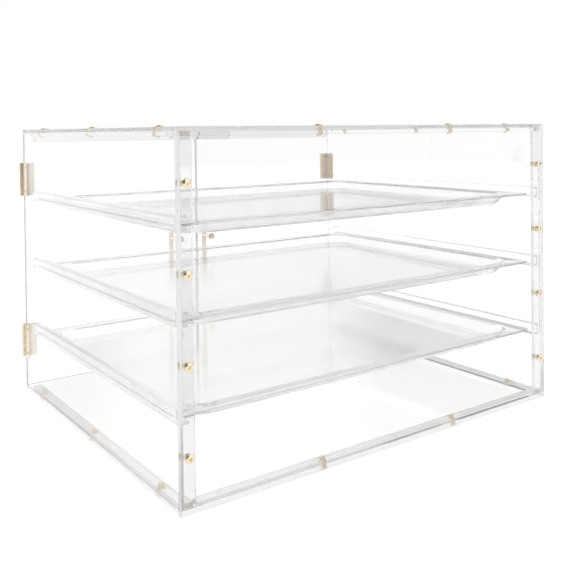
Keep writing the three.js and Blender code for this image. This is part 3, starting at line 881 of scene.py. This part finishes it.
def leaf_shape(width, height, first):
    """A leaf about its pin, lying along X with its seat at minus the knuckle's radius in Y."""
    pitch = (height + KNUCKLE_GAP) / PARTINGS
    foot = KNUCKLE_RADIUS + KNUCKLE_GAP
    plate = box_shape((foot, -KNUCKLE_RADIUS, -height / 2),
                      (width, LEAF_THICKNESS - KNUCKLE_RADIUS, height / 2))
    tools = [("UNION", curl(i * pitch - height / 2, (i + 1) * pitch - height / 2 - KNUCKLE_GAP))
             for i in range(first, PARTINGS, 2)]
    return combined(plate, tools, LEAF_ROUND)


def leaf_screw():
    """A small slotted round-head screw along Z, with the underside of its head at zero."""
    head = turned([(0, -LEAF_SHAFT_LENGTH), (LEAF_SHAFT_RADIUS, -LEAF_SHAFT_LENGTH),
                   (LEAF_SHAFT_RADIUS, 0)] + dome(LEAF_HEAD_RADIUS, LEAF_HEAD_HEIGHT))
    slot = box_shape((-2 * LEAF_HEAD_RADIUS, -LEAF_SLOT / 2, LEAF_HEAD_HEIGHT - LEAF_SLOT),
                     (2 * LEAF_HEAD_RADIUS, LEAF_SLOT / 2, 2 * LEAF_HEAD_HEIGHT))
    return combined(head, [("DIFFERENCE", slot)])


for side, sign in SIDES.items():
    for level in ("upper", "lower"):
        case_low, case_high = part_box(f"{side}_{level}_hinge_case_leaf")
        door_low, door_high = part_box(f"{side}_{level}_hinge_door_leaf")
        height = case_high[2] - case_low[2]
        pin = Vector((sign * (max(abs(case_low[0]), abs(case_high[0])) - KNUCKLE_RADIUS),
                      case_high[1] - KNUCKLE_RADIUS, (case_low[2] + case_high[2]) / 2))
        width = case_high[1] - case_low[1] - KNUCKLE_RADIUS
        for kind, first in (("case", 0), ("door", 1)):
            parts = [leaf_shape(width, height, first)]
            for z in (-HINGE_SCREW_SPACING / 2, HINGE_SCREW_SPACING / 2):
                parts.append(moved(leaf_screw(), Matrix.Translation(
                    (width - HINGE_SCREW_INSET, LEAF_THICKNESS - KNUCKLE_RADIUS, z))
                    @ Matrix.Rotation(-math.pi / 2, 4, "X")))
            if kind == "case":
                parts.append(turned([(0, -height / 2), (PIN_RADIUS, -height / 2),
                                     (PIN_RADIUS, height / 2), (0, height / 2)]))
            whole = joined(parts)
            turn = (Matrix.Rotation(-math.pi / 2, 4, "Z") if kind == "case"
                    else Matrix.Scale(-1, 4, (1, 0, 0)))
            mirror = Matrix.Scale(sign, 4, (1, 0, 0))
            moved(whole, Matrix.Translation(pin) @ mirror @ turn)
            bmesh.ops.recalc_face_normals(whole, faces=whole.faces)
            name = f"{side}_{level}_hinge_{kind}_leaf"
            hinge = piece_from(whole, name, (leaf_brass,), LEAF_SMOOTH_ANGLE)
            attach(hinge, "case" if kind == "case" else f"{side}_door")
            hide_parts(name)


# Handles. A round brass bar stands upright on two turned posts, each held through the door by a
# stud with a cap nut inside.
GRIP_RADIUS = 4 * MM
GRIP_ROUND = 1.2 * MM
POST_RADIUS = 3 * MM
FOOT_RADIUS = 5 * MM
FOOT_HEIGHT = 2 * MM
STUD_RADIUS = 1.8 * MM
NUT_RADIUS = 4 * MM
NUT_HEIGHT = 2 * MM
SEAT_GAP = 0.3 * MM
SMALL_ROUND = 0.4 * MM


def rounded_end(radius, z, size, up):
    """The profile of a rod's end with a rounded rim, from the axis out or from the rim in."""
    turns = [0.5 * math.pi * k / DOME_STEPS for k in range(DOME_STEPS + 1)]
    arc = [(radius - size + size * math.sin(t), z + size * (1 - math.cos(t)) * (-1 if up else 1))
           for t in turns]
    return arc[::-1] + [(0, z)] if up else [(0, z)] + arc


for side, sign in SIDES.items():
    name = f"{side}_handle"
    low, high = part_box(name)
    door_low, door_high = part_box(f"{side}_door")
    reach = high[1] - GRIP_RADIUS - door_high[1]
    length = high[2] - low[2]
    grip = turned(rounded_end(GRIP_RADIUS, -length / 2, GRIP_ROUND, False)
                  + rounded_end(GRIP_RADIUS, length / 2, GRIP_ROUND, True))
    inner = -(door_high[1] - door_low[1]) - SEAT_GAP
    post = ([(0, inner - NUT_HEIGHT)]
            + [(r, inner - h) for r, h in dome(NUT_RADIUS, NUT_HEIGHT)[::-1][1:]]
            + [(STUD_RADIUS, inner), (STUD_RADIUS, SEAT_GAP), (FOOT_RADIUS, SEAT_GAP),
               (FOOT_RADIUS, SEAT_GAP + FOOT_HEIGHT - SMALL_ROUND),
               (FOOT_RADIUS - SMALL_ROUND, SEAT_GAP + FOOT_HEIGHT),
               (POST_RADIUS, SEAT_GAP + FOOT_HEIGHT), (POST_RADIUS, reach), (0, reach)])
    place = middle(name)
    tools = []
    for z in (-length / 2 + HANDLE_POST_INSET, length / 2 - HANDLE_POST_INSET):
        stand = Matrix.Translation((0, -reach, z)) @ Matrix.Rotation(-math.pi / 2, 4, "X")
        tools.append(("UNION", moved(turned(post), stand)))
    shape = combined(grip, tools)
    handle = piece_from(shape, name, (leaf_brass,))
    handle.matrix_world = Matrix.Translation((place[0], high[1] - GRIP_RADIUS, place[2]))
    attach(handle, f"{side}_door")
    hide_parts(name)


# Screws of the case. Low pan-head brass screws with a cross recess hold the front and the top, and
# flat-head ones lie flush under the bottom. They run through the sheets into the posts and strips.
HEAD_RADIUS = 4.6 * MM
HEAD_HEIGHT = 2.0 * MM
HEAD_RIM = 0.85 * MM
HEAD_UNDERCUT = 0.25 * MM
SHAFT_RADIUS = 3.0 * MM
SHAFT_CORE = 2.5 * MM
SCREW_LENGTH = 11.0 * MM
THREAD_PITCH = 1.1 * MM
THREAD_STEPS = 6
THREAD_FACETS = 24
THREAD_END = 1.2 * MM
THREAD_TIP_SHARE = 0.75
CROSS_SPAN = 5.0 * MM
CROSS_WIDTH = 1.2 * MM
CROSS_DEPTH = 1.4 * MM
CROSS_TAPER = 0.55
SINK_HEIGHT = 3 * MM
RECESS_SEED = 7


def threaded(length, top):
    """A shaft about Z with a helical thread, from its tip up to a height."""
    shape = bmesh.new()
    rows = int((length + top) / THREAD_PITCH * THREAD_STEPS)
    rings = []
    for row in range(rows + 1):
        z = -length + (length + top) * row / rows
        ring = []
        for i in range(THREAD_FACETS):
            share = i / THREAD_FACETS
            phase = (z / THREAD_PITCH - share) % 1
            crest = 1 - abs(2 * phase - 1)
            fade = min(1, (z + length) / THREAD_END)
            radius = SHAFT_CORE + (SHAFT_RADIUS - SHAFT_CORE) * crest * fade
            radius *= THREAD_TIP_SHARE + (1 - THREAD_TIP_SHARE) * fade
            ring.append(shape.verts.new((radius * math.cos(2 * math.pi * share),
                                         radius * math.sin(2 * math.pi * share), z)))
        rings.append(ring)
    for first, second in zip(rings, rings[1:]):
        for i in range(THREAD_FACETS):
            j = (i + 1) % THREAD_FACETS
            shape.faces.new((first[i], first[j], second[j], second[i]))
    shape.faces.new(rings[0])
    shape.faces.new(rings[-1])
    bmesh.ops.recalc_face_normals(shape, faces=shape.faces)
    return shape


def cross_recess(face_z):
    """The cutter of a cross recess, narrower at its bottom."""
    tools = []
    for turn in (0, math.pi / 2):
        arm = box_shape((-CROSS_SPAN / 2, -CROSS_WIDTH / 2, face_z - CROSS_DEPTH),
                        (CROSS_SPAN / 2, CROSS_WIDTH / 2, face_z + CROSS_DEPTH))
        for vert in arm.verts:
            if vert.co.z < face_z:
                vert.co.x *= CROSS_TAPER
                vert.co.y *= CROSS_TAPER
        tools.append(moved(arm, Matrix.Rotation(turn, 4, "Z")))
    return tools


def screw_mesh(name, head, face_z, top):
    """The mesh of a screw: its turned head joined to its threaded shaft, with a cross recess."""
    tools = [("DIFFERENCE", arm) for arm in cross_recess(face_z)]
    shape = joined([combined(turned(head), tools), threaded(SCREW_LENGTH, top)])
    return mesh_from(shape, name, (turned_brass,))


pan_head = screw_mesh(
    "pan_head_screw",
    [(0, 0), (HEAD_RADIUS - HEAD_UNDERCUT, 0), (HEAD_RADIUS, HEAD_UNDERCUT),
     (HEAD_RADIUS, HEAD_RIM)] + dome(HEAD_RADIUS, HEAD_HEIGHT - HEAD_RIM, HEAD_RIM)[1:],
    HEAD_HEIGHT, HEAD_UNDERCUT)
flat_head = screw_mesh(
    "flat_head_screw",
    [(0, -SINK_HEIGHT), (SHAFT_RADIUS, -SINK_HEIGHT), (HEAD_RADIUS, -HEAD_UNDERCUT),
     (HEAD_RADIUS, 0), (0, 0)], 0.0, -SINK_HEIGHT + HEAD_UNDERCUT)

draws = random.Random(RECESS_SEED)
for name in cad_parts:
    if "_screw_" not in name:
        continue
    group = name.split("_")[0]
    low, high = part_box(name)
    place = (low + high) / 2
    if group == "front":
        place[1] = low[1] + HEAD_HEIGHT
        aim = Matrix.Rotation(math.pi / 2, 4, "X")
    elif group == "top":
        place[2] = high[2] - HEAD_HEIGHT
        aim = Matrix.Identity(4)
    else:
        place[2] = low[2]
        aim = Matrix.Rotation(math.pi, 4, "X")
    screw = bpy.data.objects.new(name + "_dressed", flat_head if group == "bottom" else pan_head)
    scene.collection.objects.link(screw)
    screw.matrix_world = (Matrix.Translation(place) @ aim
                          @ Matrix.Rotation(draws.uniform(0, math.pi / 2), 4, "Z"))
    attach(screw, "case")
    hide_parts(name)


low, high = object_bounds()
